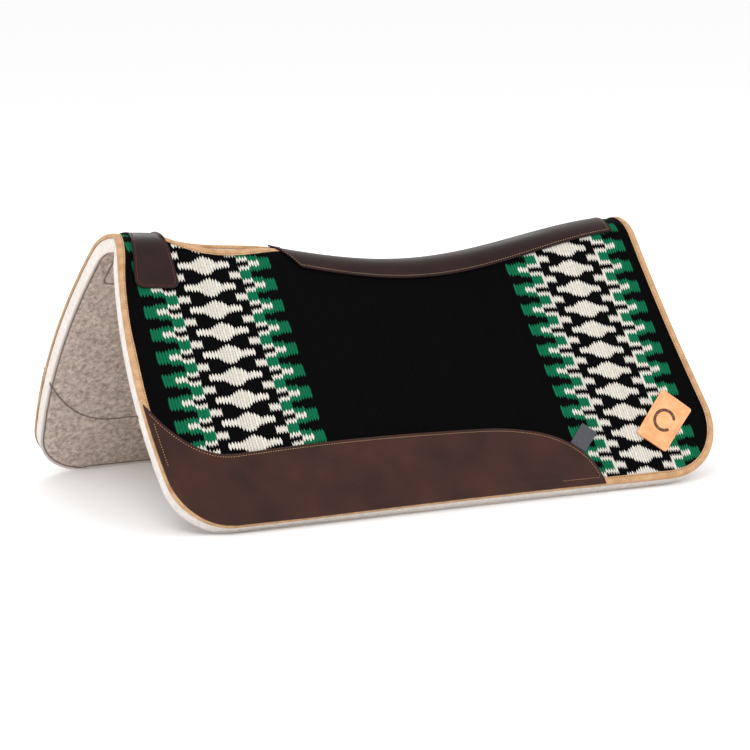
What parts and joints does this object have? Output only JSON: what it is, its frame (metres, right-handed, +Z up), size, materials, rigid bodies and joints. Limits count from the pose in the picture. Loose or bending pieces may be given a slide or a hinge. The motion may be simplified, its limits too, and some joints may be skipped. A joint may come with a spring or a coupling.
{
  "type": "saddle pad",
  "caption": "Contoured western saddle pad: felt halves under a woven blanket, with leather wear panels, spine strip, withers vent and bound edges.",
  "frame": {"origin": "on the ground, below the middle of the spine, where the pad stands on the lower edges of its two flaps", "axes": "+X along the spine from the withers to the rear, +Y to the off side, +Z up; the near side is -Y"},
  "size_m": [0.8557, 0.5632, 0.3777],
  "materials": {
    "felt_core": "pressed wool felt, pale, matte",
    "felt_lining": "pressed wool felt, grey-brown, matte",
    "blanket": "woven wool, black with green and cream stepped bands",
    "binding": "smooth tan strap leather",
    "brown_leather": "dark brown harness leather, satin",
    "thread": "waxed tan sewing thread",
    "red_thread": "waxed dark red sewing thread",
    "tooling_leather": "natural vegetable-tanned leather with a burnt mark",
    "label_weave": "dark woven label tape"
  },
  "bodies": {
    "near_half": {"felt_core_near": "felt_core", "felt_lining_near": "felt_lining", "blanket_near": "blanket", "edge_binding_near": "binding", "vent_binding_near": "binding", "wear_leather_near": "brown_leather", "binding_stitching_near": "thread", "vent_stitching_near": "thread", "wear_stitching_near": "thread", "spine_stitching_near": "thread", "withers_stitching_near": "red_thread", "makers_patch": "tooling_leather", "makers_patch_stitching": "thread", "spine_leather": "brown_leather", "withers_patch": "brown_leather"},
    "off_half": {"felt_core_off": "felt_core", "felt_lining_off": "felt_lining", "blanket_off": "blanket", "edge_binding_off": "binding", "vent_binding_off": "binding", "wear_leather_off": "brown_leather", "binding_stitching_off": "thread", "vent_stitching_off": "thread", "wear_stitching_off": "thread", "spine_stitching_off": "thread", "withers_stitching_off": "red_thread"},
    "label_flap": {"care_label": "label_weave"}
  },
  "joints": [
    {"name": "spine_fold", "type": "hinge", "parent": "near_half", "child": "off_half", "pos_m": [0, 0, 0.3645], "axis": [0.9993, 0, -0.0387], "range_deg": [0, 50], "stiffness_Nm_per_rad": 35, "springref_deg": -6.88, "deforming": ["spine_leather", "withers_patch"]},
    {"name": "care_label_lift", "type": "hinge", "parent": "near_half", "child": "label_flap", "pos_m": [0.19153, -0.23805, 0.06186], "axis": [0.6843, -0.4889, -0.541], "range_deg": [0, 90]}
  ]
}
